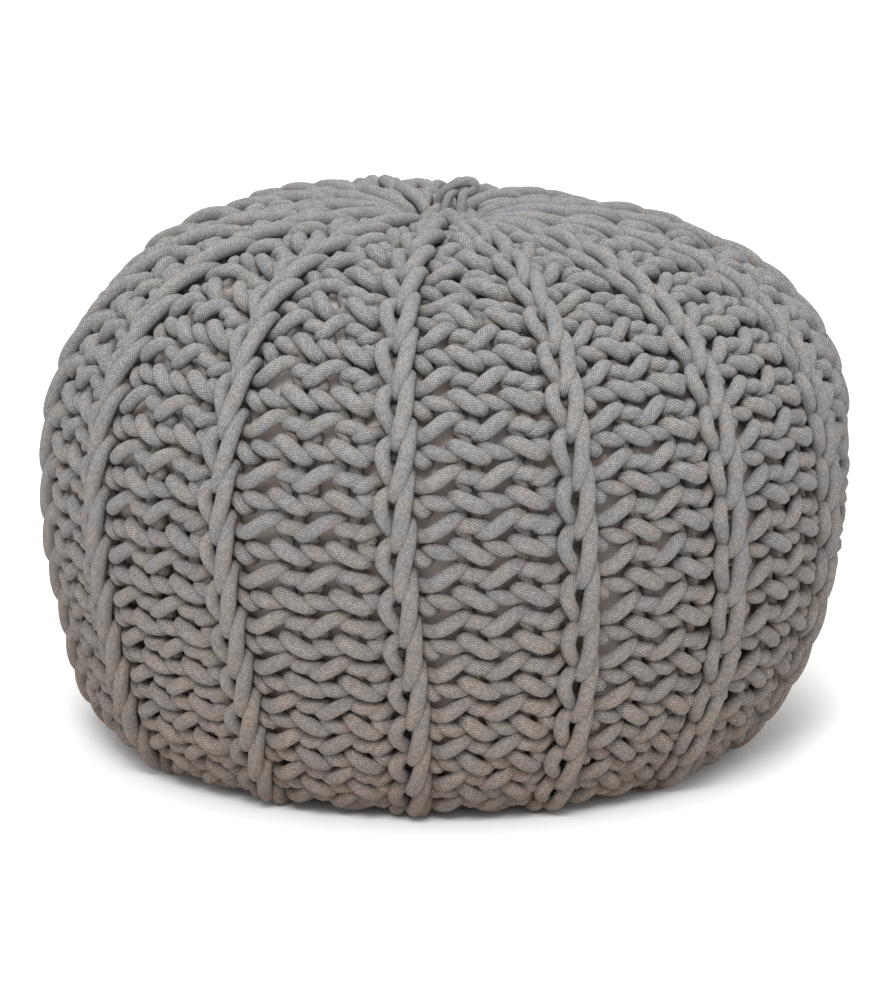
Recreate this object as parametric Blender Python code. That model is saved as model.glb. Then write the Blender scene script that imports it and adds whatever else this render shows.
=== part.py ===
"""A round knitted pouf: a filled cover knitted from thick soft cord, with fourteen raised ribs that run from the
crown to the foot, rows of knitting between them, and a loop of the closing cord on the crown.

The origin is the centre of the flat foot, +Z is up, and the photographed side faces -Y. Units are metres."""

import math

import bmesh
import bpy
import numpy as np

# Driving dimensions, measured over the ribs
DIAMETER = 0.500
HEIGHT = 0.335
WIDEST_AT = 0.190
TOUCH_RADIUS = 0.187
FOOT_RADIUS = 0.172
CORD = 0.0095

# The knitting: the ribs and the turn of the first one from +X, and the rows, which close up towards the foot
RIB_COUNT = 14
FIRST_RIB = math.radians(-96.9)
RIB_WIDTH = 0.025
UPPER_PITCH = 0.0162
FOOT_PITCH = 0.0133
PITCH_FROM = 0.230
PITCH_TO = 0.500

# How far each rib strays sideways at three lengths from the crown. The rib across the pouf strays alike.
STRAY_LEVELS = (0.15, 0.30, 0.45)
STRAY_REACH = 0.15
RIB_STRAY = (
    # shoulder, middle, foot
    (-0.006, 0.000, 0.007),
    (0.001, -0.004, 0.001),
    (0.002, -0.011, -0.004),
    (0.004, -0.012, 0.006),
    (0.000, -0.005, 0.000),
    (-0.012, -0.004, -0.001),
    (-0.010, -0.002, 0.006),
)

# How far the knitting stands proud of the middle of the fabric
RIB_RISE = 0.0110
PLAIT_RISE = 0.0085
ROW_RISE = 0.0060
GROOVE_RISE = 0.0015
CROWN_RISE = 0.0080
GATHER_RADIUS = 0.060

# Roundness of the outline above and below its widest ring, as the powers of a superellipse
UPPER_ROUND = (3.15, 1.96)
LOWER_ROUND = (1.30, 2.65)
OUTLINE_STEPS = 400

# Unevenness of a soft filled thing: the right side is fullest higher up than the left
LEAN = 0.013
LEAN_ROUND = 3

# The columns of the grid that one rib and its panel take: its crest, its edges, and the panel in thirds
CREST_HALF = 0.42
COLUMNS_PER_RIB = 6
FIRST_RING = 0.018

# The loop of closing cord on the crown
LOOP_WIDTH = 0.015
LOOP_LEG = 0.007
LOOP_TURN = math.radians(12.0)
LOOP_BEND_STEPS = 10
LOOP_GAP = 0.0003

CORD_COLOUR = (0.26, 0.245, 0.235, 1.0)


def clear_scene():
    for thing in list(bpy.data.objects):
        bpy.data.objects.remove(thing, do_unlink=True)


def cord_material(name):
    """Soft braided cotton: matt, warm grey."""
    material = bpy.data.materials.new(name)
    material.use_nodes = True
    shader = material.node_tree.nodes["Principled BSDF"]
    shader.inputs["Base Color"].default_value = CORD_COLOUR
    shader.inputs["Roughness"].default_value = 0.92
    shader.inputs["Metallic"].default_value = 0.0
    return material


def fabric_outline():
    """Radius and height of the middle of the fabric, from the crown's centre to where the ribs touch the floor,
    with the outward normal. It is the outline over the ribs, moved inwards by the rise of a rib."""
    turn = np.linspace(0.0, math.pi / 2, OUTLINE_STEPS)
    half = DIAMETER / 2
    upper_radius = half * np.sin(turn) ** (2 / UPPER_ROUND[0])
    upper_height = WIDEST_AT + (HEIGHT - WIDEST_AT) * np.cos(turn) ** (2 / UPPER_ROUND[1])
    lower_radius = TOUCH_RADIUS + (half - TOUCH_RADIUS) * np.cos(turn) ** (2 / LOWER_ROUND[0])
    lower_height = WIDEST_AT * (1 - np.sin(turn) ** (2 / LOWER_ROUND[1]))
    radius = np.concatenate([upper_radius, lower_radius[1:]])
    height = np.concatenate([upper_height, lower_height[1:]])
    along = np.concatenate([[0.0], np.cumsum(np.hypot(np.diff(radius), np.diff(height)))])
    out_radius = np.gradient(-height, along)
    out_height = np.gradient(radius, along)
    radius = radius - RIB_RISE * out_radius
    height = height - RIB_RISE * out_height
    return along, radius, height, out_radius, out_height


ALONG, RADIUS, LEVEL, OUT_RADIUS, OUT_HEIGHT = fabric_outline()


def crown_height():
    """Height of the small flat disc at the crown, where the ribs are gathered."""
    return HEIGHT - RIB_RISE + CROWN_RISE


def fabric_point(along, azimuth, rise):
    """The point at this length from the crown and this azimuth, raised along the outward normal. The body leans:
    its middle is lifted on the +X side and lowered on the -X side."""
    radius = np.interp(along, ALONG, RADIUS) + rise * np.interp(along, ALONG, OUT_RADIUS)
    height = np.interp(along, ALONG, LEVEL) + rise * np.interp(along, ALONG, OUT_HEIGHT)
    x = radius * math.cos(azimuth)
    y = radius * math.sin(azimuth)
    level = min(max(height / HEIGHT, 0.0), 1.0)
    lean = LEAN * x / (DIAMETER / 2) * math.sin(math.pi * level) ** LEAN_ROUND
    return x, y, height + lean


def stray(rib, along):
    """How far a rib lies to the side of its even place: the table's shift at each level, faded into the next."""
    shift = 0.0
    for level, aside in zip(STRAY_LEVELS, RIB_STRAY[rib % (RIB_COUNT // 2)]):
        away = min(abs(along - level) / STRAY_REACH, 1.0)
        shift += aside * (0.5 + 0.5 * math.cos(math.pi * away))
    return shift


def column_azimuth(column, along):
    """Each rib has two columns on its crest and one at each edge, and two more share the panel evenly. The panel's
    columns follow the stray of the ribs on both sides of it by their share."""
    repeat = 2 * math.pi / RIB_COUNT
    rib, place = divmod(column, COLUMNS_PER_RIB)
    radius = max(float(np.interp(along, ALONG, RADIUS)), FIRST_RING)
    edge = min(RIB_WIDTH / 2 / radius, repeat * 0.3)
    crest = edge * CREST_HALF
    third = (repeat - 2 * edge) / 3
    offset = (-crest, crest, edge, edge + third, repeat - edge - third, repeat - edge)[place]
    share = (0, 0, 0, 1 / 3, 2 / 3, 1)[place]
    aside = (1 - share) * stray(rib, along) + share * stray(rib + 1, along)
    return FIRST_RIB + rib * repeat + offset + aside / max(radius, DIAMETER / 8)


def relief(column, ring, along):
    """How far the knitting stands out here: rib crests highest, a groove beside each rib, ridges along the rows.
    A stitch of a rib is two rows tall, and its two legs cross in turn, so the crest's columns dip in turn."""
    place = column % COLUMNS_PER_RIB
    on_row = ring % 2 == 0
    if place < 2:
        rise = PLAIT_RISE if ring % 4 == 1 + 2 * place else RIB_RISE
    elif on_row and place in (3, 4):
        rise = ROW_RISE
    else:
        rise = GROOVE_RISE
    gathered = min(1.0, float(np.interp(along, ALONG, RADIUS)) / GATHER_RADIUS)
    return CROWN_RISE + (rise - CROWN_RISE) * gathered


def ring_lengths():
    """Length from the crown of each ring of the grid: two rings a row, with the rows closing up downwards."""
    pitch = np.interp(ALONG, [PITCH_FROM, PITCH_TO], [UPPER_PITCH, FOOT_PITCH])
    rows = np.concatenate([[0.0], np.cumsum(np.diff(ALONG) / pitch[1:])])
    first = np.interp(FIRST_RING, ALONG, rows)
    count = 2 * round(rows[-1] - first) + 1
    return np.interp(np.linspace(first, rows[-1], count), rows, ALONG)


def cover_point(column, ring, arc):
    """Where a point of the grid goes: the crown's flat disc first, then the rows, then the flat foot."""
    if ring == 0:
        return 0.0, 0.0, crown_height()
    if ring == 1:
        azimuth = column_azimuth(column, FIRST_RING)
        return FIRST_RING * math.cos(azimuth), FIRST_RING * math.sin(azimuth), crown_height()
    if ring <= len(arc):
        along = arc[ring - 1]
        return fabric_point(along, column_azimuth(column, along), relief(column, ring, along))
    if ring == len(arc) + 1:
        azimuth = column_azimuth(column, ALONG[-1])
        return FOOT_RADIUS * math.cos(azimuth), FOOT_RADIUS * math.sin(azimuth), 0.0
    return 0.0, 0.0, 0.0


def knitted_cover(collection):
    """The filled cover as one solid: a sphere's grid of rings and columns, laid onto the pouf ring by ring."""
    columns = RIB_COUNT * COLUMNS_PER_RIB
    arc = ring_lengths()
    rings = len(arc)
    grid = bmesh.new()
    bmesh.ops.create_uvsphere(grid, u_segments=columns, v_segments=rings + 2, radius=1.0)
    for vertex in grid.verts:
        x, y, z = vertex.co
        ring = round(math.acos(max(-1.0, min(1.0, z))) / math.pi * (rings + 2))
        column = round(math.atan2(y, x) / (2 * math.pi) * columns) % columns
        vertex.co = cover_point(column, ring, arc)
    bmesh.ops.recalc_face_normals(grid, faces=grid.faces)
    mesh = bpy.data.meshes.new("knitted_cover")
    grid.to_mesh(mesh)
    grid.free()
    mesh.shade_smooth()
    mesh.materials.append(cord_material("knitted_cord"))
    cover = bpy.data.objects.new("knitted_cover", mesh)
    collection.objects.link(cover)


def closing_loop(collection):
    """The end of the closing cord: a small arch standing on the crown, both its legs upright."""
    curve = bpy.data.curves.new("closing_loop", "CURVE")
    curve.dimensions = "3D"
    curve.bevel_depth = CORD / 2
    curve.bevel_resolution = 2
    curve.use_fill_caps = True
    half = LOOP_WIDTH / 2
    path = [(-half, 0.0)]
    for step in range(LOOP_BEND_STEPS + 1):
        turn = math.pi * step / LOOP_BEND_STEPS
        path.append((-half * math.cos(turn), LOOP_LEG + half * math.sin(turn)))
    path.append((half, 0.0))
    spline = curve.splines.new("POLY")
    spline.points.add(len(path) - 1)
    base = crown_height() + LOOP_GAP
    for point, (across, up) in zip(spline.points, path):
        point.co = (across * math.cos(LOOP_TURN), across * math.sin(LOOP_TURN), base + up, 1.0)
    curve.materials.append(cord_material("closing_cord"))
    loop = bpy.data.objects.new("closing_loop", curve)
    collection.objects.link(loop)


def main():
    clear_scene()
    pouf = bpy.data.collections.new("knitted_pouf")
    bpy.context.scene.collection.children.link(pouf)
    knitted_cover(pouf)
    closing_loop(pouf)


main()
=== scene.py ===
"""The looks of a round knitted pouf: soft braided cotton cord, knitted into rows of slanting
stitches between fourteen plaited ribs, over a smooth filled casing that shows through the gaps.
Sizes are in metres."""

import math

import bpy
import numpy as np
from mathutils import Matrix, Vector


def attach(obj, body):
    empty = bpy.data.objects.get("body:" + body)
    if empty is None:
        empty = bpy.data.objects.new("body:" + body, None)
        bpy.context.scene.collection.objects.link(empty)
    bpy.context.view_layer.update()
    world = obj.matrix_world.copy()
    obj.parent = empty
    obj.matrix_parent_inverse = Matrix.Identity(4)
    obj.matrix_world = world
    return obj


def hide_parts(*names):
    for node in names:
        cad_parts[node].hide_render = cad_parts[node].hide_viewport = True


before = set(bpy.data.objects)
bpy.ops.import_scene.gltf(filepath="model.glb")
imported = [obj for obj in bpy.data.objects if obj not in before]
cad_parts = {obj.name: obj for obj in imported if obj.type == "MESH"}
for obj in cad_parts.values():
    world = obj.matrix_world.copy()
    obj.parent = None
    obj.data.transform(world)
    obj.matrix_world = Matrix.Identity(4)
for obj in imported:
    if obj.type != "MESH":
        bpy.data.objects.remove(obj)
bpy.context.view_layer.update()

# The pouf's outline over its ribs, as in the part's own source. Its roundness above and below the
# widest ring is given as the powers of a superellipse.
DIAMETER = 0.500
HALF_WIDTH = DIAMETER / 2
HEIGHT = 0.335
WIDEST_AT = 0.190
TOUCH_RADIUS = 0.187
UPPER_ROUND = (3.15, 1.96)
LOWER_ROUND = (1.30, 2.65)
OUTLINE_STEPS = 400

# The unevenness of a soft filled thing. The middle is lifted on the +X side, as in the part's own
# source. Below the height FULLER_BELOW that side's belly is also a little fuller.
LEAN = 0.013
LEAN_ROUND = 3
FULLER = 0.0050
FULLER_BELOW = 0.27
FULLER_ROUND = 2

# The foot spreads to -X and forwards and draws in at +X, less and less up to this height
SPREAD_LEFT = 0.0180
SPREAD_RIGHT = -0.0025
SPREAD_FRONT = 0.0090
SPREAD_BELOW = 0.095

# The crown is raised at -X and lowered at +X by a sine wave of this height and length, which sets
# in between these two heights
CROWN_TILT = 0.0045
CROWN_WAVE = 0.40
CROWN_FROM = (0.25, 0.30)

# The ribs: the turn of the first one from +X, and the turn that one rib and its panel take
RIB_COUNT = 14
FIRST_RIB = math.radians(-96.9)
REPEAT = 2 * math.pi / RIB_COUNT

# How far each rib strays sideways at three lengths from the crown. The rib across the pouf strays
# alike. Closer to the centre than the last radius, a rib turns no further aside.
STRAY_LEVELS = (0.15, 0.30, 0.45)
STRAY_REACH = 0.15
RIB_STRAY = (
    # shoulder, middle, foot
    (-0.006, 0.000, 0.007),
    (0.001, -0.004, 0.001),
    (0.002, -0.011, -0.004),
    (0.004, -0.012, 0.006),
    (0.000, -0.005, 0.000),
    (-0.012, -0.004, -0.001),
    (-0.010, -0.002, 0.006),
)
STRAY_INNERMOST = DIAMETER / 8

# The cord, how deep the middle of the fabric lies below the outline over the ribs, and how deep
# the casing lies below the middle of the fabric
CORD = 0.0095
FABRIC_DEPTH = 0.0145
CASING_DEPTH = 0.0060

# The gauge: rows lie evenly on the crown and close up towards the foot, between these two lengths
# from the crown. ROW_MARK is a row whose place is known. The rows run from the first one to the
# foot's centre, and none of them has a number as high as ROWS_END.
UPPER_PITCH = 0.0162
FOOT_PITCH = 0.0133
PITCH_FROM = 0.230
PITCH_TO = 0.500
ROW_MARK = 14
ROW_MARK_AT = 0.232
FIRST_ROW = 3
ROWS_END = 60
FOOT_CENTRE = 0.030

# Half a rib's width, and the largest share of a repeat that it takes; a stitch's width, and how
# much wider a panel is than its stitches; the radii outside which a panel has two stitches and one
RIB_HALF = 0.0115
RIB_SHARE = 0.32
STITCH_WIDTH = 0.0355
PANEL_SPARE = 0.0150
TWO_STITCH_RADIUS = 0.172
ONE_STITCH_RADIUS = 0.088

# A rib's stitches are two rows tall. The foot of the uppermost one lies RIB_PHASE below this row.
RIB_FIRST_ROW = 4
RIB_STITCH_ROWS = 2
RIB_PHASE = 0.76

# How much stitches steepen for the share of their width that is missing, within these limits
CROWDING = 1.1
CROWDING_LIMITS = (-0.3, 0.6)

# The knitting is looser on the crown out to its reach. At the crown's centre the ribs are drawn in
# and lie flatter, within their own reach, and none comes closer to the centre than the last radius.
LOOSER_CROWN = 2.0
CROWN_REACH = 0.26
DRAWN_IN = 0.012
DRAWN_REACH = 0.080
FLATTER_CROWN = 0.35
RIB_INNERMOST = 0.010

# How far places stray by chance in the fabric's plane and out of it, for rows and ribs, and by
# what share the cord is thicker or thinner. The seed makes every run alike.
ROW_STRAY = 0.0006
ROW_LIFT_STRAY = 0.0004
RIB_ASIDE_STRAY = 0.0005
RIB_LIFT_STRAY = 0.0003
FULLNESS_STRAY = 0.03
SEED = 7

# A cord on the floor is pressed flat over this height, and the inside of a bend reaches no further
# than this share of the bend's radius
FLOOR_SOFTNESS = 0.0008
BEND_SHARE = 0.85

# How finely things are drawn: the sides of a cord, the steps between two places of a row and of a
# rib, and the casing's rings and columns, whose first and last ring lie CASING_END from the two
# centres. The knitting is split into pieces of a handy size.
CORD_SIDES = 9
ROW_STEPS = 3
RIB_STEPS = 4
CASING_RINGS = 84
CASING_COLUMNS = 112
CASING_END = 0.001
SIDE_PIECES = 4
RIB_PIECES = 2

# Steeper than this a path needs another helper direction; nothing is divided by less than TINY
STEEP = 0.7
TINY = 1e-9


# ---------------------------------------------------------------- the form of the pouf

def meridian():
    """The middle of the fabric from the crown's centre, down the side and under the foot to its
    centre. Two superellipse quarters and a straight run give the outline over the ribs; moving
    each point inwards along its normal by the fabric's depth gives the fabric. Returns the length
    along, the radius, the height and the normal's two parts."""
    turn = np.linspace(0.0, math.pi / 2, OUTLINE_STEPS)
    upper_radius = HALF_WIDTH * np.sin(turn) ** (2 / UPPER_ROUND[0])
    upper_height = WIDEST_AT + (HEIGHT - WIDEST_AT) * np.cos(turn) ** (2 / UPPER_ROUND[1])
    flare = np.cos(turn) ** (2 / LOWER_ROUND[0])
    lower_radius = TOUCH_RADIUS + (HALF_WIDTH - TOUCH_RADIUS) * flare
    lower_height = WIDEST_AT * (1 - np.sin(turn) ** (2 / LOWER_ROUND[1]))
    under_radius = TOUCH_RADIUS * (1 - np.linspace(0.0, 1.0, OUTLINE_STEPS))
    radius = np.concatenate([upper_radius, lower_radius[1:], under_radius[1:]])
    height = np.concatenate([upper_height, lower_height[1:], np.zeros(OUTLINE_STEPS - 1)])
    along = np.concatenate([[0.0], np.cumsum(np.hypot(np.diff(radius), np.diff(height)))])
    out_radius = np.gradient(-height, along)
    out_height = np.gradient(radius, along)
    radius = radius - FABRIC_DEPTH * out_radius
    height = height - FABRIC_DEPTH * out_height
    return along, radius, height, out_radius, out_height


ALONG, RADIUS, LEVEL, OUT_RADIUS, OUT_HEIGHT = meridian()


def radius_at(along):
    """The fabric's radius at this length from the crown, read off the meridian."""
    return np.interp(along, ALONG, RADIUS)


def fading(along, reach):
    """1 at the crown's centre, falling evenly to 0 at this reach from it."""
    return np.clip(1.0 - along / reach, 0.0, 1.0)


def stray(rib, along):
    """How far a rib lies to the side of its even place, as an angle: the table's shift at each
    level, faded to the next level by a raised cosine, over the radius."""
    table = np.array(RIB_STRAY)[rib % (RIB_COUNT // 2)]
    away = np.abs(along[..., None] - np.array(STRAY_LEVELS)) / STRAY_REACH
    fade = 0.5 + 0.5 * np.cos(math.pi * np.clip(away, 0.0, 1.0))
    return np.sum(table * fade, axis=-1) / np.maximum(radius_at(along), STRAY_INNERMOST)


def looseness(along):
    """How uneven the knitting is: 1 on the side and foot, loosest on the crown around the tight
    gathering, as the product of a fall from the centre and a rise from it."""
    off_centre = np.clip(along / DRAWN_REACH, 0.0, 1.0)
    return 1.0 + LOOSER_CROWN * fading(along, CROWN_REACH) * off_centre


def row_length(number):
    """How far from the crown a row lies: the rows are counted by adding up the pitch along the
    fabric, and the count is shifted so that the marked row lies at its known place."""
    pitch = np.interp(ALONG, [PITCH_FROM, PITCH_TO], [UPPER_PITCH, FOOT_PITCH])
    count = np.concatenate([[0.0], np.cumsum(np.diff(ALONG) / pitch[1:])])
    count = count - np.interp(ROW_MARK_AT, ALONG, count) + ROW_MARK
    return np.interp(number, count, ALONG)


def onto_pouf(along, azimuth, lift):
    """Points on the fabric at these lengths from the crown and azimuths, lifted along the outward
    normal. The body leans: its middle is raised on the +X side and lowered on the other, by a
    power of a half sine of the height. The belly is fuller at +X by another. The foot spreads
    forwards and to -X and draws in at +X, by a raised cosine of the height. The crown tilts the
    other way from the body, by one sine wave across it."""
    radius = radius_at(along) + lift * np.interp(along, ALONG, OUT_RADIUS)
    height = np.interp(along, ALONG, LEVEL) + lift * np.interp(along, ALONG, OUT_HEIGHT)
    x = radius * np.cos(azimuth)
    y = radius * np.sin(azimuth)
    middle = np.sin(math.pi * np.clip(height / HEIGHT, 0.0, 1.0)) ** LEAN_ROUND
    lean = LEAN * x / HALF_WIDTH * middle
    belly = np.sin(math.pi * np.clip(height / FULLER_BELOW, 0.0, 1.0)) ** FULLER_ROUND
    fuller = FULLER * np.maximum(x, 0.0) / HALF_WIDTH * belly
    low = 0.5 + 0.5 * np.cos(math.pi * np.clip(height / SPREAD_BELOW, 0.0, 1.0))
    aside = np.where(x > 0, SPREAD_RIGHT, SPREAD_LEFT) * x / HALF_WIDTH * low
    forward = SPREAD_FRONT * np.minimum(y, 0.0) / HALF_WIDTH * low
    upper = np.interp(height, CROWN_FROM, (0.0, 1.0))
    tilt = -CROWN_TILT * np.sin(2 * math.pi * x / CROWN_WAVE) * upper
    return np.stack([x + fuller + aside, y + forward, height + lean + tilt], axis=-1)


# ---------------------------------------------------------------- cords as tubes

def blend_steps(before, here, after, later, steps):
    """Points of a uniform cubic B-spline at equal steps t from 0 to 1: four neighbouring places
    weighted by (1-t)^3, 3t^3-6t^2+4, -3t^3+3t^2+3t+1 and t^3, over six."""
    t = (np.arange(steps) / steps)[:, None]
    path = (before[..., None, :] * (1 - t) ** 3
            + here[..., None, :] * (3 * t ** 3 - 6 * t ** 2 + 4)
            + after[..., None, :] * (-3 * t ** 3 + 3 * t ** 2 + 3 * t + 1)
            + later[..., None, :] * t ** 3) / 6
    return path.reshape(*path.shape[:-3], -1, path.shape[-1])


def smooth_closed(places):
    """A closed cord's path: the spline on its places, going round."""
    before, after, later = (np.roll(places, shift, -2) for shift in (1, -1, -2))
    return blend_steps(before, places, after, later, ROW_STEPS)


def smooth_open(places):
    """An open cord's path: the spline on its places, with those at its ends repeated."""
    first, last = places[..., :1, :], places[..., -1:, :]
    padded = np.concatenate([first, places, last, last], axis=-2)
    before, here = padded[..., :-3, :], padded[..., 1:-2, :]
    after, later = padded[..., 2:-1, :], padded[..., 3:, :]
    return blend_steps(before, here, after, later, RIB_STEPS)


def unit(vectors):
    """Each vector over its own length."""
    return vectors / np.maximum(np.linalg.norm(vectors, axis=-1, keepdims=True), TINY)


def untwisted_frame(path, closed):
    """Two cross directions along each path that do not twist about it. Any cross directions are
    found first; the angle by which each turns from its neighbour, carried over by the smallest
    rotation, is then summed up along the cord and taken out. On a closed cord the angle left over
    is spread along its whole length."""
    if closed:
        tangent = unit(np.roll(path, -1, -2) - np.roll(path, 1, -2))
    else:
        tangent = unit(np.gradient(path, axis=-2))
    level = np.abs(tangent[..., 2:3]) < STEEP
    helper = np.where(level, np.array([0.0, 0.0, 1.0]), np.array([1.0, 0.0, 0.0]))
    side = unit(np.cross(helper, tangent))
    over = np.cross(tangent, side)
    next_tangent, next_side, next_over = (np.roll(run, -1, -2) for run in (tangent, side, over))
    axis = np.cross(tangent, next_tangent)
    cosine = np.sum(tangent * next_tangent, axis=-1, keepdims=True)
    on_axis = np.sum(axis * side, axis=-1, keepdims=True)
    carried = side * cosine + np.cross(axis, side) + axis * on_axis / np.maximum(1 + cosine, TINY)
    turn = np.arctan2(np.sum(carried * next_over, axis=-1), np.sum(carried * next_side, axis=-1))
    summed = np.cumsum(turn[..., :-1], axis=-1)
    angle = np.concatenate([np.zeros_like(turn[..., :1]), summed], axis=-1)
    if closed:
        left_over = angle[..., -1:] + turn[..., -1:]
        left_over = left_over - 2 * math.pi * np.round(left_over / (2 * math.pi))
        angle = angle - left_over * np.arange(path.shape[-2]) / path.shape[-2]
    cosine, sine = np.cos(angle)[..., None], np.sin(angle)[..., None]
    return side * cosine + over * sine, over * cosine - side * sine


def pressed_in_bends(path, ring, closed):
    """The cord's rings, pressed flat on the inside of a tight bend. The bend's direction and
    radius come from each point's two neighbours; no point of a ring reaches further inwards than
    most of that radius."""
    if closed:
        ahead, behind = np.roll(path, -1, 1) - path, path - np.roll(path, 1, 1)
    else:
        steps = np.diff(path, axis=1)
        ahead = np.concatenate([steps, steps[:, -1:]], axis=1)
        behind = np.concatenate([steps[:, :1], steps], axis=1)
    far, near = (np.linalg.norm(run, axis=-1, keepdims=True) for run in (ahead, behind))
    swing = ahead / np.maximum(far, TINY) - behind / np.maximum(near, TINY)
    bend = 2 * swing / np.maximum(far + near, TINY)
    sharpness = np.maximum(np.linalg.norm(bend, axis=-1, keepdims=True), TINY)
    inwards = (bend / sharpness)[:, :, None, :]
    reach = np.sum(ring * inwards, axis=-1)
    excess = np.maximum(reach - BEND_SHARE / sharpness, 0.0)
    return ring - excess[..., None] * inwards


def settle_on_floor(height):
    """Where a cord would dip below the floor it is pressed flat against it: half the sum of the
    height and the root of its square plus a small square, a soft maximum of height and zero."""
    return 0.5 * (height + np.sqrt(height ** 2 + FLOOR_SOFTNESS ** 2))


def tube_faces(cords, length, closed):
    """The faces between each ring of a cord and the next, as four point numbers each. A closed
    cord's last ring is joined to its first, and an open cord has a face on each end."""
    number = np.arange(cords * length * CORD_SIDES).reshape(cords, length, CORD_SIDES)
    here = number if closed else number[:, :-1]
    ahead = np.roll(number, -1, 1)[:, :here.shape[1]]
    quads = np.stack([here, np.roll(here, -1, 2), np.roll(ahead, -1, 2), ahead], axis=-1)
    faces = quads.reshape(-1, 4).tolist()
    if not closed:
        faces += number[:, 0, ::-1].tolist() + number[:, -1].tolist()
    return faces


def tube_uv(path, closed):
    """Where the corners of those faces lie on the cord: the summed length along it in metres, and
    the share of a turn around it."""
    if closed:
        path = np.concatenate([path, path[:, :1]], axis=1)
    step = np.linalg.norm(np.diff(path, axis=1), axis=-1)
    run = np.concatenate([np.zeros((len(path), 1)), np.cumsum(step, axis=1)], axis=1)
    turn = np.arange(CORD_SIDES) / CORD_SIDES
    uv = np.empty((*step.shape, CORD_SIDES, 4, 2))
    uv[..., 0, 0] = uv[..., 1, 0] = run[:, :-1, None]
    uv[..., 2, 0] = uv[..., 3, 0] = run[:, 1:, None]
    uv[..., 0, 1] = uv[..., 3, 1] = turn
    uv[..., 1, 1] = uv[..., 2, 1] = turn + 1 / CORD_SIDES
    return uv.reshape(-1, 2)


def add_uv(mesh, name, uv):
    """A UV map from the corners of the mesh's first faces. The faces on its ends come last, and
    their corners stay at zero."""
    corners = np.zeros((len(mesh.loops), 2))
    corners[:len(uv)] = uv
    mesh.uv_layers.new(name=name).data.foreach_set("uv", corners.ravel())


def placed(name, data):
    """A new object in the scene for this mesh, lamp or camera."""
    thing = bpy.data.objects.new(name, data)
    bpy.context.scene.collection.objects.link(thing)
    return thing


def cord_mesh(name, values, closed):
    """Round cords along paths given as cords x points x (x, y, z, lift, fullness): a circle
    carried along each path in its untwisted frame, as wide as the cord times its fullness. The UV
    map runs along the cord in metres and once around it, and the attribute lift tells how far out
    of the fabric each point of the path lies."""
    path, lift, fullness = values[..., :3], values[..., 3], values[..., 4]
    side, over = untwisted_frame(path, closed)
    around = np.linspace(0.0, 2 * math.pi, CORD_SIDES, endpoint=False)[:, None]
    ring = np.cos(around) * side[:, :, None, :] + np.sin(around) * over[:, :, None, :]
    ring = pressed_in_bends(path, ring * (CORD / 2 * fullness)[:, :, None, None], closed)
    points = path[:, :, None, :] + ring
    points[..., 2] = settle_on_floor(points[..., 2])
    mesh = bpy.data.meshes.new(name)
    mesh.from_pydata(points.reshape(-1, 3), [], tube_faces(*lift.shape, closed))
    add_uv(mesh, "cord", tube_uv(path, closed))
    raised = mesh.attributes.new("lift", "FLOAT", "POINT")
    raised.data.foreach_set("value", np.repeat(lift.ravel(), CORD_SIDES))
    mesh.shade_smooth()
    return placed(name, mesh)


# ---------------------------------------------------------------- the knitting

# One stitch of a row, as places on its cord: across in metres, up in rows, lift off the fabric in
# metres, and how full the cord is there. A loose row's long strokes slant up to the right where
# its loops start and down to the right at their heads, and a tight row's short ones the other way;
# between them the cord dives behind. A tight row also turns once beside the rib before its first
# loop. Start is where the first loop starts, and head how far on its head lies.
LOOSE = {
    "edge": (),
    "start": 0.0275,
    "head": 0.0185,
    "sinker": ((-0.0145, -0.38, 0.0005, 0.88), (-0.0060, -0.30, 0.0070, 0.98),
               (0.0055, 0.28, 0.0070, 1.00), (0.0132, 0.30, 0.0010, 0.88)),
    "leg_up": ((0.0168, 0.15, -0.0030, 0.88),),
    "crest": ((-0.0135, 0.34, 0.0005, 0.90), (-0.0058, 0.26, 0.0070, 1.06),
              (0.0055, -0.24, 0.0070, 1.06), (0.0138, -0.26, 0.0010, 0.90)),
    "leg_down": ((0.0230, -0.10, -0.0030, 0.88),),
    "last": ((-0.0148, -0.38, 0.0005, 0.90), (-0.0070, -0.28, 0.0058, 0.98),
             (-0.0005, -0.05, 0.0005, 0.90)),
}
TIGHT = {
    "edge": ((0.0115, 0.02, 0.0015, 0.95), (0.0180, -0.42, 0.0052, 1.0),
             (0.0210, -0.35, -0.0060, 0.85)),
    "start": 0.0265,
    "head": 0.0200,
    "sinker": ((-0.0100, 0.22, 0.0005, 0.90), (0.0, 0.0, 0.0070, 1.0),
               (0.0100, -0.22, 0.0005, 0.90)),
    "leg_up": ((0.0205, 0.45, -0.0005, 0.86),),
    "crest": ((-0.0100, 0.10, 0.0005, 0.90), (0.0, 0.0, 0.0068, 1.04),
              (0.0100, -0.12, 0.0005, 0.90)),
    "leg_down": ((0.0365, -0.48, -0.0005, 0.86),),
    "last": ((-0.0100, 0.22, 0.0005, 0.90), (-0.0035, 0.05, 0.0056, 0.98),
             (0.0030, -0.12, 0.0000, 0.90)),
}

# Behind the next rib: up, lift and fullness
BEHIND_RIB = (0.0, -0.0050, 0.90)


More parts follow.
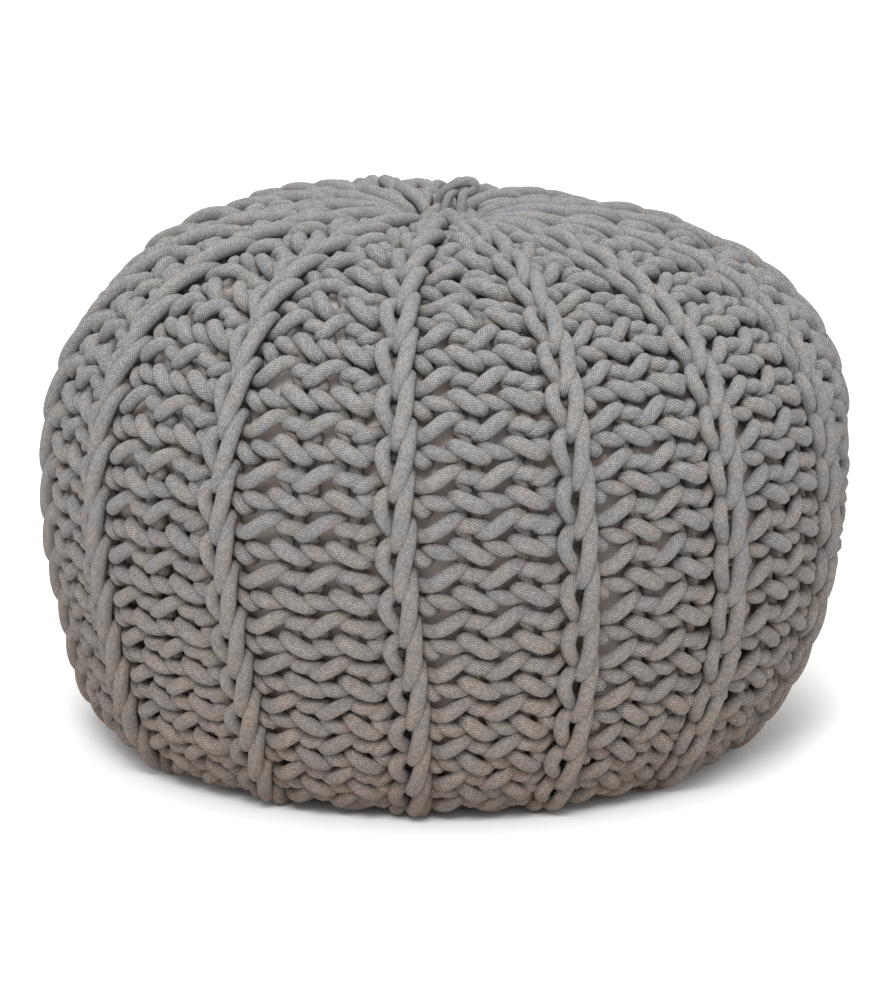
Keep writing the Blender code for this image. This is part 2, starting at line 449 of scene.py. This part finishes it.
def row_of_stitches(kind, stitches):
    """The places of one repeat of a row, as an array of across, up, lift and fullness: the turn
    beside the rib, a loop for each stitch, then a last start that slips behind the next rib. Each
    part of a stitch is moved across by the stitches before it, and its head up by one row. Also
    the width they fill at full gauge."""
    def moved(part, aside, rows=0.0):
        """The places of one part of a stitch, each with these added to its across and up."""
        return [(aside + across, rows + up, lift, full) for across, up, lift, full in kind[part]]

    places = moved("edge", 0.0)
    for stitch in range(stitches):
        start = kind["start"] + stitch * STITCH_WIDTH
        places += moved("sinker", start) + moved("leg_up", start)
        places += moved("crest", start + kind["head"], 1.0) + moved("leg_down", start, 1.0)
    places += moved("last", kind["start"] + stitches * STITCH_WIDTH)
    width = 2 * RIB_HALF + stitches * STITCH_WIDTH + PANEL_SPARE
    places.append((width, *BEHIND_RIB))
    return np.array(places), width


def joined(points, raised, fullness):
    """Places of whole cords, one cord a row, in one array of x, y, z, lift and fullness."""
    values = np.concatenate([points, raised[..., None], fullness[..., None]], axis=-1)
    return values.reshape(len(points), -1, 5)


def knit_rows(name, rows, stitches, noise):
    """Closed rows of knitting, given by their numbers, the loose even ones as one piece and the
    tight odd ones as another. Each row's places are repeated in every panel, spread over the
    panel's width there, and joined by a smooth closed path. Where the panel is too narrow for its
    stitches they crowd: their slopes grow steeper by the share that is missing, and they stand
    out further by its root. Between two ribs, a place follows the stray of each by its share."""
    pieces = []
    for parity, kind in enumerate((LOOSE, TIGHT)):
        chosen = rows[rows % 2 == parity]
        places, width = row_of_stitches(kind, stitches)
        across, up, lift, full = places.T
        rib = np.arange(RIB_COUNT)[:, None] + np.zeros((len(chosen), 1, len(across)), dtype=int)
        room = REPEAT * radius_at(row_length(chosen)) - 2 * RIB_HALF
        missing = np.clip(1.0 - room / (width - 2 * RIB_HALF), *CROWDING_LIMITS)
        crowding = 1.0 + CROWDING * missing[:, None, None]
        line = np.round(up)
        number = chosen[:, None, None] - line - (up - line) * crowding
        along = row_length(number + np.zeros(rib.shape))
        loose = looseness(along)
        along = along + noise.normal(0.0, ROW_STRAY, along.shape) * loose
        radius = radius_at(along)
        edge = np.minimum(RIB_HALF, RIB_SHARE * REPEAT * radius)
        panel = REPEAT * radius - 2 * edge
        spread = (across - RIB_HALF) / (width - 2 * RIB_HALF)
        share = (edge + spread * panel) / (REPEAT * radius)
        share = share + noise.normal(0.0, ROW_STRAY, share.shape) / (REPEAT * radius)
        aside = (1 - share) * stray(rib, along) + share * stray(rib + 1, along)
        azimuth = FIRST_RIB + (rib + share) * REPEAT + aside
        raised = lift * crowding ** 0.5 + noise.normal(0.0, ROW_LIFT_STRAY, along.shape) * loose
        fullness = full * (1.0 + noise.normal(0.0, FULLNESS_STRAY, along.shape))
        values = joined(onto_pouf(along, azimuth, raised), raised, fullness)
        pieces.append(cord_mesh(f"{name}_{parity}", smooth_closed(values), True))
    return pieces


# One stitch of a rib: across from the rib's middle in metres, up from its foot in rows, lift in
# metres, fullness. It rises on the left, slips behind the stitch above and comes down long and
# slanting on the right.
RIB_STITCH = (
    (0.0030, -0.60, -0.0060, 0.78),
    (0.0026, -0.02, -0.0025, 0.82),
    (0.0006, 0.42, 0.0016, 0.88),
    (-0.0030, 0.88, 0.0058, 0.95),
    (-0.0068, 1.36, 0.0080, 1.00),
    (-0.0074, 1.78, 0.0080, 1.00),
    (-0.0050, 2.12, 0.0070, 0.95),
    (-0.0008, 2.26, 0.0040, 0.88),
    (0.0034, 2.30, 0.0000, 0.82),
    (0.0066, 2.62, -0.0028, 0.80),
    (0.0080, 3.06, -0.0006, 0.82),
    (0.0082, 2.98, 0.0050, 0.90),
    (0.0076, 2.30, 0.0092, 1.00),
    (0.0058, 1.40, 0.0106, 1.02),
    (0.0034, 0.62, 0.0110, 1.00),
    (0.0014, 0.10, 0.0086, 0.90),
    (0.0006, -0.10, 0.0020, 0.80),
)


def rib_cords(name, feet, ribs, noise):
    """A cord for each of these ribs, looped once for each stitch from the foot up to the crown.
    Around the crown's centre the gathering draws the stitches in by a length, and presses them
    flatter by a share, that both grow evenly towards it."""
    across, up, lift, full = np.array(RIB_STITCH).T
    rib = ribs[:, None, None] + np.zeros((1, len(feet), len(across)), dtype=int)
    along = row_length(feet[None, ::-1, None] - up + np.zeros(rib.shape))
    loose = looseness(along)
    along = along - DRAWN_IN * fading(along, DRAWN_REACH)
    radius = np.maximum(radius_at(along), RIB_INNERMOST)
    edge = np.minimum(RIB_HALF, RIB_SHARE * REPEAT * radius)
    aside = across * edge / RIB_HALF + noise.normal(0.0, RIB_ASIDE_STRAY, along.shape) * loose
    azimuth = FIRST_RIB + rib * REPEAT + aside / radius + stray(rib, along)
    flatter = 1.0 - FLATTER_CROWN * fading(along, DRAWN_REACH)
    raised = lift * flatter + noise.normal(0.0, RIB_LIFT_STRAY, along.shape) * loose
    fullness = full * (1.0 + noise.normal(0.0, FULLNESS_STRAY, along.shape))
    values = joined(onto_pouf(along, azimuth, raised), raised, fullness)
    return cord_mesh(name, smooth_open(values), False)


# The gathering: the cord wound twice through the last stitches, in lobes around the crown's centre.
# Its lift is above the fabric's crown, its rise that of a lobe's inner end, and its climb how far
# the first turn lies above the middle of both. Then fullness, and the lift that sets its painted
# shade.
GATHER_AT = (0.005, 0.0)
GATHER_RADIUS = 0.0150
GATHER_LOBE = 0.0058
GATHER_TURNS = 2
GATHER_LOBES = 7
GATHER_POINTS = 8
GATHER_LIFT = 0.0016
GATHER_RISE = 0.0045
GATHER_CLIMB = 0.0020
GATHER_FULLNESS = 0.95
GATHER_RAISED = 0.00475

# The end of the cord, left standing as a loop: across, back and up from the gathering, and
# fullness. Then the lift that sets its painted shade.
LOOP = (
    (-0.0080, 0.0100, -0.0050, 0.66),
    (-0.0090, 0.0090, 0.0020, 0.66),
    (-0.0070, 0.0080, 0.0070, 0.66),
    (-0.0020, 0.0070, 0.0118, 0.66),
    (0.0050, 0.0060, 0.0152, 0.68),
    (0.0120, 0.0050, 0.0164, 0.70),
    (0.0152, 0.0040, 0.0125, 0.66),
    (0.0110, 0.0030, 0.0088, 0.62),
    (0.0074, 0.0000, 0.0100, 0.62),
    (0.0062, -0.0030, 0.0075, 0.64),
    (0.0056, -0.0055, 0.0020, 0.66),
    (0.0050, -0.0080, -0.0050, 0.66),
)
LOOP_STEM = (
    (0.0060, 0.0090, 0.0000, 0.60),
    (0.0046, 0.0075, 0.0080, 0.60),
    (0.0010, 0.0050, 0.0096, 0.60),
    (-0.0026, 0.0025, 0.0060, 0.60),
    (-0.0044, 0.0000, 0.0000, 0.62),
    (-0.0050, -0.0020, -0.0060, 0.62),
)
LOOP_RAISED = 0.004


def crown_gathering():
    """Two turns of cord about the crown's centre whose radius swells and shrinks as a sine, rising
    where it shrinks, like a cord drawn through the stitches. A slower sine lifts the first turn
    and lowers the second."""
    points = GATHER_POINTS * GATHER_LOBES
    turn = np.linspace(0.0, 2 * math.pi * GATHER_TURNS, points, endpoint=False)
    wave = np.cos(turn * GATHER_LOBES / GATHER_TURNS)
    radius = GATHER_RADIUS + GATHER_LOBE * wave
    base = HEIGHT - FABRIC_DEPTH + GATHER_LIFT
    height = base - GATHER_RISE * wave + GATHER_CLIMB * np.sin(turn / GATHER_TURNS)
    x = GATHER_AT[0] + radius * np.cos(turn)
    y = GATHER_AT[1] + radius * np.sin(turn)
    raised, full = (np.full_like(turn, value) for value in (GATHER_RAISED, GATHER_FULLNESS))
    values = np.stack([x, y, height, raised, full], axis=-1)[None]
    return cord_mesh("crown_gathering", smooth_closed(values), True)


def closing_loop(name, places):
    """A short cord standing on the crown, a smooth open path through its places."""
    across, back, up, full = np.array(places).T
    base = HEIGHT - FABRIC_DEPTH + CORD
    raised = np.full_like(up, LOOP_RAISED)
    values = [GATHER_AT[0] + across, GATHER_AT[1] + back, base + up, raised, full]
    return cord_mesh(name, smooth_open(np.stack(values, axis=-1)[None]), False)


def inner_casing():
    """The smooth filled casing behind the knitting: the fabric's outline turned round, a little
    further in, closed by a small flat face at the crown and at the foot. Its UV map runs in metres
    from the crown down, and around the pouf as far as at its widest."""
    lengths = np.linspace(CASING_END, ALONG[-1] - CASING_END, CASING_RINGS)
    turns = np.linspace(0.0, 2 * math.pi, CASING_COLUMNS, endpoint=False)
    points = onto_pouf(*np.meshgrid(lengths, turns, indexing="ij"), -CASING_DEPTH)
    number = np.arange(CASING_RINGS * CASING_COLUMNS).reshape(CASING_RINGS, CASING_COLUMNS)
    upper, lower = number[:-1], number[1:]
    quads = np.stack([upper, lower, np.roll(lower, -1, 1), np.roll(upper, -1, 1)], axis=-1)
    faces = quads.reshape(-1, 4).tolist() + [number[0].tolist(), number[-1, ::-1].tolist()]
    mesh = bpy.data.meshes.new("inner_casing")
    mesh.from_pydata(points.reshape(-1, 3), [], faces)
    ring, column = np.indices(upper.shape)
    down = lengths[np.stack([ring, ring + 1, ring + 1, ring], axis=-1)]
    round_it = np.stack([column, column, column + 1, column + 1], axis=-1)
    round_it = round_it / CASING_COLUMNS * math.pi * DIAMETER
    add_uv(mesh, "cloth", np.stack([down, round_it], axis=-1).reshape(-1, 2))
    mesh.shade_smooth()
    return placed("inner_casing", mesh)


# ---------------------------------------------------------------- cord and cloth

# Darkening towards the floor and painted shade deep between the cords multiply the colour by these,
# and the fabrics have a faint soft sheen
LOW_DARKENING = (0.91, 0.74, 0.62, 1.0)
PAINTED_CREVICE_SHADE = (0.93, 0.86, 0.78, 1.0)
SHEEN = (("Specular IOR Level", 0.10), ("Sheen Weight", 0.04), ("Sheen Roughness", 0.45))

# The finish of the cord and the casing's cloth: their UV map; cool and warm grey; the weave's
# values, with painted shade in its furrows and painted light on its ridges; roughness in the
# furrows and on the strands; the bump's strength and height; and whether the fabric gets painted
# shade, darker and browner, where its lift is low
CLOTH_THREAD = 0.0011
CORD_FINISH = {
    "uv_map": "cord",
    "greys": ((0.191, 0.195, 0.202, 1.0), (0.215, 0.207, 0.200, 1.0)),
    "weave": {"Strands": 16.0, "Lay": 0.0019, "Uneven": 0.16, "Furrow": 0.40, "Ridge": 1.15},
    "roughness": (0.98, 0.86),
    "bump": (0.55, 0.0006),
    "crevice_shaded": True,
}
CLOTH_FINISH = {
    "uv_map": "cloth",
    "greys": ((0.56, 0.525, 0.515, 1.0), (0.55, 0.485, 0.445, 1.0)),
    "weave": {"Strands": 1 / CLOTH_THREAD, "Lay": CLOTH_THREAD, "Uneven": 0.07,
              "Furrow": 0.80, "Ridge": 1.05},
    "roughness": (1.0, 0.9),
    "bump": (0.4, 0.0002),
    "crevice_shaded": False,
}

# The braid: how much lower a strand lies at its ends, and the heights that count as furrow and
# ridge for its painted shade and painted light. The group of warm patches and painted shade: the
# size and edges of its patches, a cord's usual lift and the lifts where the painted shade between
# the cords starts and is full, and for the darkening towards the floor its clouds, how high they
# reach, its start at the floor, its fall with height and the power that curves it.
STRAND_DIP = 0.45
FURROW_TO_RIDGE = (0.05, 0.70)
PATCH_SCALE = 70.0
PATCH_DETAIL = 4.0
PATCH_EDGES = (0.38, 0.62)
USUAL_LIFT = 0.005
CREVICE_SHADE_LIFTS = (0.0055, -0.0035)
LOW_DARK_CLOUDS = 55.0
LOW_DARK_REACH = 0.09
LOW_DARK_START = 1.14
LOW_DARK_FALL = 2.9
LOW_DARK_CURVE = 1.8


def new_group(name, inputs, outputs):
    """A node group with these named inputs, each with its usual value, and these named outputs.
    An input without a value is a place or direction."""
    group = bpy.data.node_groups.new(name, "ShaderNodeTree")
    for label, value in inputs.items():
        kind = "NodeSocketVector" if value is None else "NodeSocketFloat"
        socket = group.interface.new_socket(label, in_out="INPUT", socket_type=kind)
        if value is not None:
            socket.default_value = value
    for label in outputs:
        group.interface.new_socket(label, in_out="OUTPUT", socket_type="NodeSocketFloat")
    return group, group.nodes.new("NodeGroupInput"), group.nodes.new("NodeGroupOutput")


def set_input(tree, socket, value):
    """Gives a socket a value, or links another node's output to it."""
    if hasattr(value, "links"):
        tree.links.new(value, socket)
    else:
        socket.default_value = value


def maths(tree, operation, *values):
    """The outcome of one operation on these values."""
    node = tree.nodes.new("ShaderNodeMath")
    node.operation = operation
    for socket, value in zip(node.inputs, values):
        set_input(tree, socket, value)
    return node.outputs[0]


def between(tree, value, low, high, to_low=0.0, to_high=1.0):
    """The value spread from low..high to to_low..to_high, smoothly, and held at the ends."""
    node = tree.nodes.new("ShaderNodeMapRange")
    node.interpolation_type = "SMOOTHSTEP"
    labels = ("Value", "From Min", "From Max", "To Min", "To Max")
    for label, given in zip(labels, (value, low, high, to_low, to_high)):
        set_input(tree, node.inputs[label], given)
    return node.outputs["Result"]


def mixed(tree, share, first, second, blend="MIX"):
    """Two colours blended by a share: the mean of both by that share, or their product. Inputs 6
    and 7 and output 2 of the node are those for colours."""
    node = tree.nodes.new("ShaderNodeMix")
    node.data_type = "RGBA"
    node.blend_type = blend
    set_input(tree, node.inputs["Factor"], share)
    set_input(tree, node.inputs[6], first)
    set_input(tree, node.inputs[7], second)
    return node.outputs[2]


def cloudy(tree, place, scale, detail=2.0):
    """Soft noise of this scale over the place, around one half."""
    node = tree.nodes.new("ShaderNodeTexNoise")
    node.inputs["Scale"].default_value = scale
    node.inputs["Detail"].default_value = detail
    set_input(tree, node.inputs["Vector"], place)
    return node.outputs["Fac"]


def braid_group():
    """A plain braid, or a plain weave where it is laid flat. Two families of strands run slantwise
    around the cord both ways: their numbers are the whole parts of around + along and around -
    along, counted in strands. Where the numbers add up to an even number the first family lies on
    top, else the second. Height is a half sine across the strand on top, lowered a little towards
    its ends. Shade is the product of two values: one of its own for every strand that shows, uneven
    by a share around one, and painted shade that rises from Furrow in the furrows to Ridge, painted
    light, on the strands' ridges."""
    group, given, result = new_group("braid", {"Cord": None, **CORD_FINISH["weave"]},
                                     ("Height", "Shade"))

    def maths_here(operation, *values):
        """The outcome of one operation on these values, inside this group."""
        return maths(group, operation, *values)

    def arch(turns):
        """A half sine from one whole number to the next."""
        return maths_here("SINE", maths_here("MULTIPLY", maths_here("FRACT", turns), math.pi))

    def lowered(height, crossing):
        """The height times a value that is 1 in the middle of the crossing strand and less at its
        edges."""
        dip = maths_here("MULTIPLY_ADD", crossing, STRAND_DIP, 1 - STRAND_DIP)
        return maths_here("MULTIPLY", height, dip)

    parts = group.nodes.new("ShaderNodeSeparateXYZ")
    group.links.new(given.outputs["Cord"], parts.inputs[0])
    forward = maths_here("DIVIDE", parts.outputs[0], given.outputs["Lay"])
    around = maths_here("MULTIPLY", parts.outputs[1], given.outputs["Strands"])
    first = maths_here("ADD", around, forward)
    second = maths_here("SUBTRACT", around, forward)
    first_number, second_number = maths_here("FLOOR", first), maths_here("FLOOR", second)
    on_top = maths_here("PINGPONG", maths_here("ADD", first_number, second_number), 1.0)
    first_arch, second_arch = arch(first), arch(second)
    below = maths_here("MULTIPLY", lowered(first_arch, second_arch),
                       maths_here("SUBTRACT", 1.0, on_top))
    height = maths_here("MULTIPLY_ADD", lowered(second_arch, first_arch), on_top, below)
    group.links.new(height, result.inputs["Height"])
    cell = group.nodes.new("ShaderNodeCombineXYZ")
    group.links.new(first_number, cell.inputs[0])
    group.links.new(second_number, cell.inputs[1])
    strand = group.nodes.new("ShaderNodeTexWhiteNoise")
    strand.noise_dimensions = "2D"
    group.links.new(cell.outputs[0], strand.inputs["Vector"])
    darkest = maths_here("SUBTRACT", 1.0, given.outputs["Uneven"])
    lightest = maths_here("ADD", 1.0, given.outputs["Uneven"])
    tone = between(group, strand.outputs["Value"], 0.0, 1.0, darkest, lightest)
    # Painted shade in the furrows between the strands and painted light on their ridges
    painted_furrow_shade = between(group, height, *FURROW_TO_RIDGE, given.outputs["Furrow"],
                     given.outputs["Ridge"])
    group.links.new(maths_here("MULTIPLY", tone, painted_furrow_shade), result.inputs["Shade"])
    return group


def ageing_group():
    """Where the cotton is warmer, where shade is painted and where it darkens towards the floor.
    Warmth wanders in patches a few centimetres wide. The painted shade, darker and browner, grows
    from none where the cord stands out of the fabric to full deep between the cords. The darkening,
    also browner, grows from almost none on the crown to full at the floor, ever faster, with cloudy
    edges: it is a power of its start less its fall times the height, between none and full."""
    group, given, result = new_group("tone_and_shade", {"Place": None, "Lift": USUAL_LIFT},
                                     ("Warmth", "Depth", "Low Darkening"))
    place = given.outputs["Place"]
    patches = cloudy(group, place, PATCH_SCALE, PATCH_DETAIL)
    group.links.new(between(group, patches, *PATCH_EDGES), result.inputs["Warmth"])
    group.links.new(between(group, given.outputs["Lift"], *CREVICE_SHADE_LIFTS), result.inputs["Depth"])
    parts = group.nodes.new("ShaderNodeSeparateXYZ")
    group.links.new(place, parts.inputs[0])
    clouds = cloudy(group, place, LOW_DARK_CLOUDS)
    ragged = maths(group, "MULTIPLY_ADD", clouds, LOW_DARK_REACH, parts.outputs[2])
    below = maths(group, "MULTIPLY_ADD", ragged, -LOW_DARK_FALL, LOW_DARK_START)
    curved = maths(group, "POWER", maths(group, "MAXIMUM", below, 0.0), LOW_DARK_CURVE)
    group.links.new(maths(group, "MINIMUM", curved, 1.0), result.inputs["Low Darkening"])
    return group


def cotton(name, finish, weave, tone_and_shade):
    """Soft matt cotton, braided or woven: cool and warm greys in patches, each strand of its own
    tone, with painted shade between the strands and painted light on their ridges, painted shade,
    darker and browner, where a cord lies deep, and darker and browner towards the floor. The colour
    is the product of these; roughness and bump follow the strands' height."""
    material = bpy.data.materials.new(name)
    material.use_nodes = True
    tree = material.node_tree
    shader = tree.nodes["Principled BSDF"]
    for label, value in SHEEN:
        shader.inputs[label].default_value = value
    surface = tree.nodes.new("ShaderNodeUVMap")
    surface.uv_map = finish["uv_map"]
    # The second group gives warm patches, painted shade between the cords and the darkening towards
    # the floor
    strands, turned = (tree.nodes.new("ShaderNodeGroup") for _ in range(2))
    strands.node_tree, turned.node_tree = weave, tone_and_shade
    for label, value in finish["weave"].items():
        strands.inputs[label].default_value = value
    tree.links.new(surface.outputs[0], strands.inputs["Cord"])
    place = tree.nodes.new("ShaderNodeTexCoord").outputs["Object"]
    tree.links.new(place, turned.inputs["Place"])
    colour = mixed(tree, turned.outputs["Warmth"], *finish["greys"])
    # Each strand's own tone, with painted shade in the furrows and painted light on the ridges
    colour = mixed(tree, 1.0, colour, strands.outputs["Shade"], "MULTIPLY")
    # Painted shade, darker and browner, where the cord lies deep between the others
    if finish["crevice_shaded"]:
        raised = tree.nodes.new("ShaderNodeAttribute")
        raised.attribute_name = "lift"
        tree.links.new(raised.outputs["Fac"], turned.inputs["Lift"])
        colour = mixed(tree, turned.outputs["Depth"], colour, PAINTED_CREVICE_SHADE, "MULTIPLY")
    # Darker and browner towards the floor
    colour = mixed(tree, turned.outputs["Low Darkening"], colour, LOW_DARKENING, "MULTIPLY")
    tree.links.new(colour, shader.inputs["Base Color"])
    height = strands.outputs["Height"]
    rough = between(tree, height, 0.0, 1.0, *finish["roughness"])
    tree.links.new(rough, shader.inputs["Roughness"])
    bump = tree.nodes.new("ShaderNodeBump")
    bump.inputs["Strength"].default_value, bump.inputs["Distance"].default_value = finish["bump"]
    tree.links.new(height, bump.inputs["Height"])
    tree.links.new(bump.outputs[0], shader.inputs["Normal"])
    return material


# ---------------------------------------------------------------- the whole pouf

def on_cover(piece, material):
    """A piece of the knitted cover, in its material."""
    piece.data.materials.append(material)
    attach(piece, "root")
    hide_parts("knitted_cover")


def build_pouf():
    """The rows, two stitches to a panel on the side and fewer towards the crown's and the foot's
    centre, then the ribs, the gathering, the loop and the casing."""
    noise = np.random.default_rng(SEED)
    numbers = np.arange(FIRST_ROW, ROWS_END)
    rows = numbers[row_length(numbers) < ALONG[-1] - FOOT_CENTRE]
    radius = radius_at(row_length(rows))
    two = radius > TWO_STITCH_RADIUS
    none = radius <= ONE_STITCH_RADIUS
    knitted = []
    for part, band in enumerate(np.array_split(rows[two], SIDE_PIECES)):
        knitted += knit_rows(f"knitted_rows_{part}", band, 2, noise)
    knitted += knit_rows("crown_and_foot_rows", rows[~two & ~none], 1, noise)
    knitted += knit_rows("gathered_rows", rows[none], 0, noise)
    feet = np.arange(RIB_FIRST_ROW, rows[-1], RIB_STITCH_ROWS) + RIB_PHASE
    for part, ribs in enumerate(np.array_split(np.arange(RIB_COUNT), RIB_PIECES)):
        knitted.append(rib_cords(f"ribs_{part}", feet, ribs, noise))
    knitted.append(crown_gathering())
    braid, tone_and_shade = braid_group(), ageing_group()
    cord = cotton("braided_cord", CORD_FINISH, braid, tone_and_shade)
    for piece in knitted:
        on_cover(piece, cord)
    for name, places in (("standing_loop", LOOP), ("loop_stem", LOOP_STEM)):
        loop = closing_loop(name, places)
        loop.data.materials.append(cord)
        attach(loop, "root")
        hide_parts("closing_loop")
    casing = inner_casing()
    on_cover(casing, cotton("casing_cloth", CLOTH_FINISH, braid, tone_and_shade))


# ---------------------------------------------------------------- the studio

# The floor's half width, and its colour and roughness
FLOOR_HALF = 12.0
FLOOR_COLOUR = (0.9, 0.9, 0.9, 1.0)
FLOOR_ROUGHNESS = 0.9

# The lamps: name, place, size and power. They look at a point above the pouf's foot. White light
# comes from all around.
LAMPS = (("key", (-0.3, -2.7, 2.8), 1.4, 108), ("top", (0.1, 0.2, 3.2), 2.0, 54))
LAMPS_LOOK_AT = Vector((0.0, 0.0, 0.15))
AROUND_COLOUR = (1.0, 1.0, 1.0, 1.0)
AROUND_STRENGTH = 1.0

# The camera: its distance and elevation, how large the photograph shows things, its height in
# pixels, how far its centre lies right of and above the pouf's middle there, in pixels too, and
# the sensor's width in millimetres
CAMERA_DISTANCE = 3.0
CAMERA_ELEVATION = math.radians(14.2)
PIXELS_PER_METRE = 1611
PHOTO_HEIGHT = 1000
PHOTO_SHIFT = (1, -34)
SENSOR_WIDTH = 36


def build_stage():
    """A wide pale floor, a soft key lamp in front, a softer one above, and an even white world."""
    half = FLOOR_HALF
    corners = [(-half, -half, 0), (half, -half, 0), (half, half, 0), (-half, half, 0)]
    mesh = bpy.data.meshes.new("floor")
    mesh.from_pydata(corners, [], [(0, 1, 2, 3)])
    pale = bpy.data.materials.new("pale_floor")
    pale.use_nodes = True
    shader = pale.node_tree.nodes["Principled BSDF"]
    shader.inputs["Base Color"].default_value = FLOOR_COLOUR
    shader.inputs["Roughness"].default_value = FLOOR_ROUGHNESS
    mesh.materials.append(pale)
    floor = placed("floor", mesh)
    world = bpy.data.worlds.new("studio")
    bpy.context.scene.world = world
    world.use_nodes = True
    background = world.node_tree.nodes["Background"]
    background.inputs["Color"].default_value = AROUND_COLOUR
    background.inputs["Strength"].default_value = AROUND_STRENGTH
    bpy.context.scene.view_settings.view_transform = "Standard"
    for name, place, size, power in LAMPS:
        lamp = bpy.data.lights.new(name, "AREA")
        lamp.size = size
        lamp.energy = power
        light = placed(name, lamp)
        light.location = place
        aim = LAMPS_LOOK_AT - Vector(place)
        light.rotation_euler = aim.to_track_quat("-Z", "Y").to_euler()


def build_camera():
    """The camera at the photograph's angle: set back from the pouf's middle along its line of
    sight, and moved in its own plane by the shift. The lens gives the photograph's scale at the
    middle's distance."""
    up = Vector((0.0, math.sin(CAMERA_ELEVATION), math.cos(CAMERA_ELEVATION)))
    back = Vector((0.0, -math.cos(CAMERA_ELEVATION), math.sin(CAMERA_ELEVATION)))
    right, above = (shift / PIXELS_PER_METRE for shift in PHOTO_SHIFT)
    aim = Vector((right, 0.0, HEIGHT / 2)) + up * above
    data = bpy.data.cameras.new("camera")
    data.sensor_width = SENSOR_WIDTH
    data.lens = SENSOR_WIDTH * PIXELS_PER_METRE * CAMERA_DISTANCE / PHOTO_HEIGHT
    camera = placed("camera", data)
    camera.location = aim + back * CAMERA_DISTANCE
    camera.rotation_euler = (-back).to_track_quat("-Z", "Y").to_euler()
    bpy.context.scene.camera = camera


build_pouf()
build_stage()
build_camera()
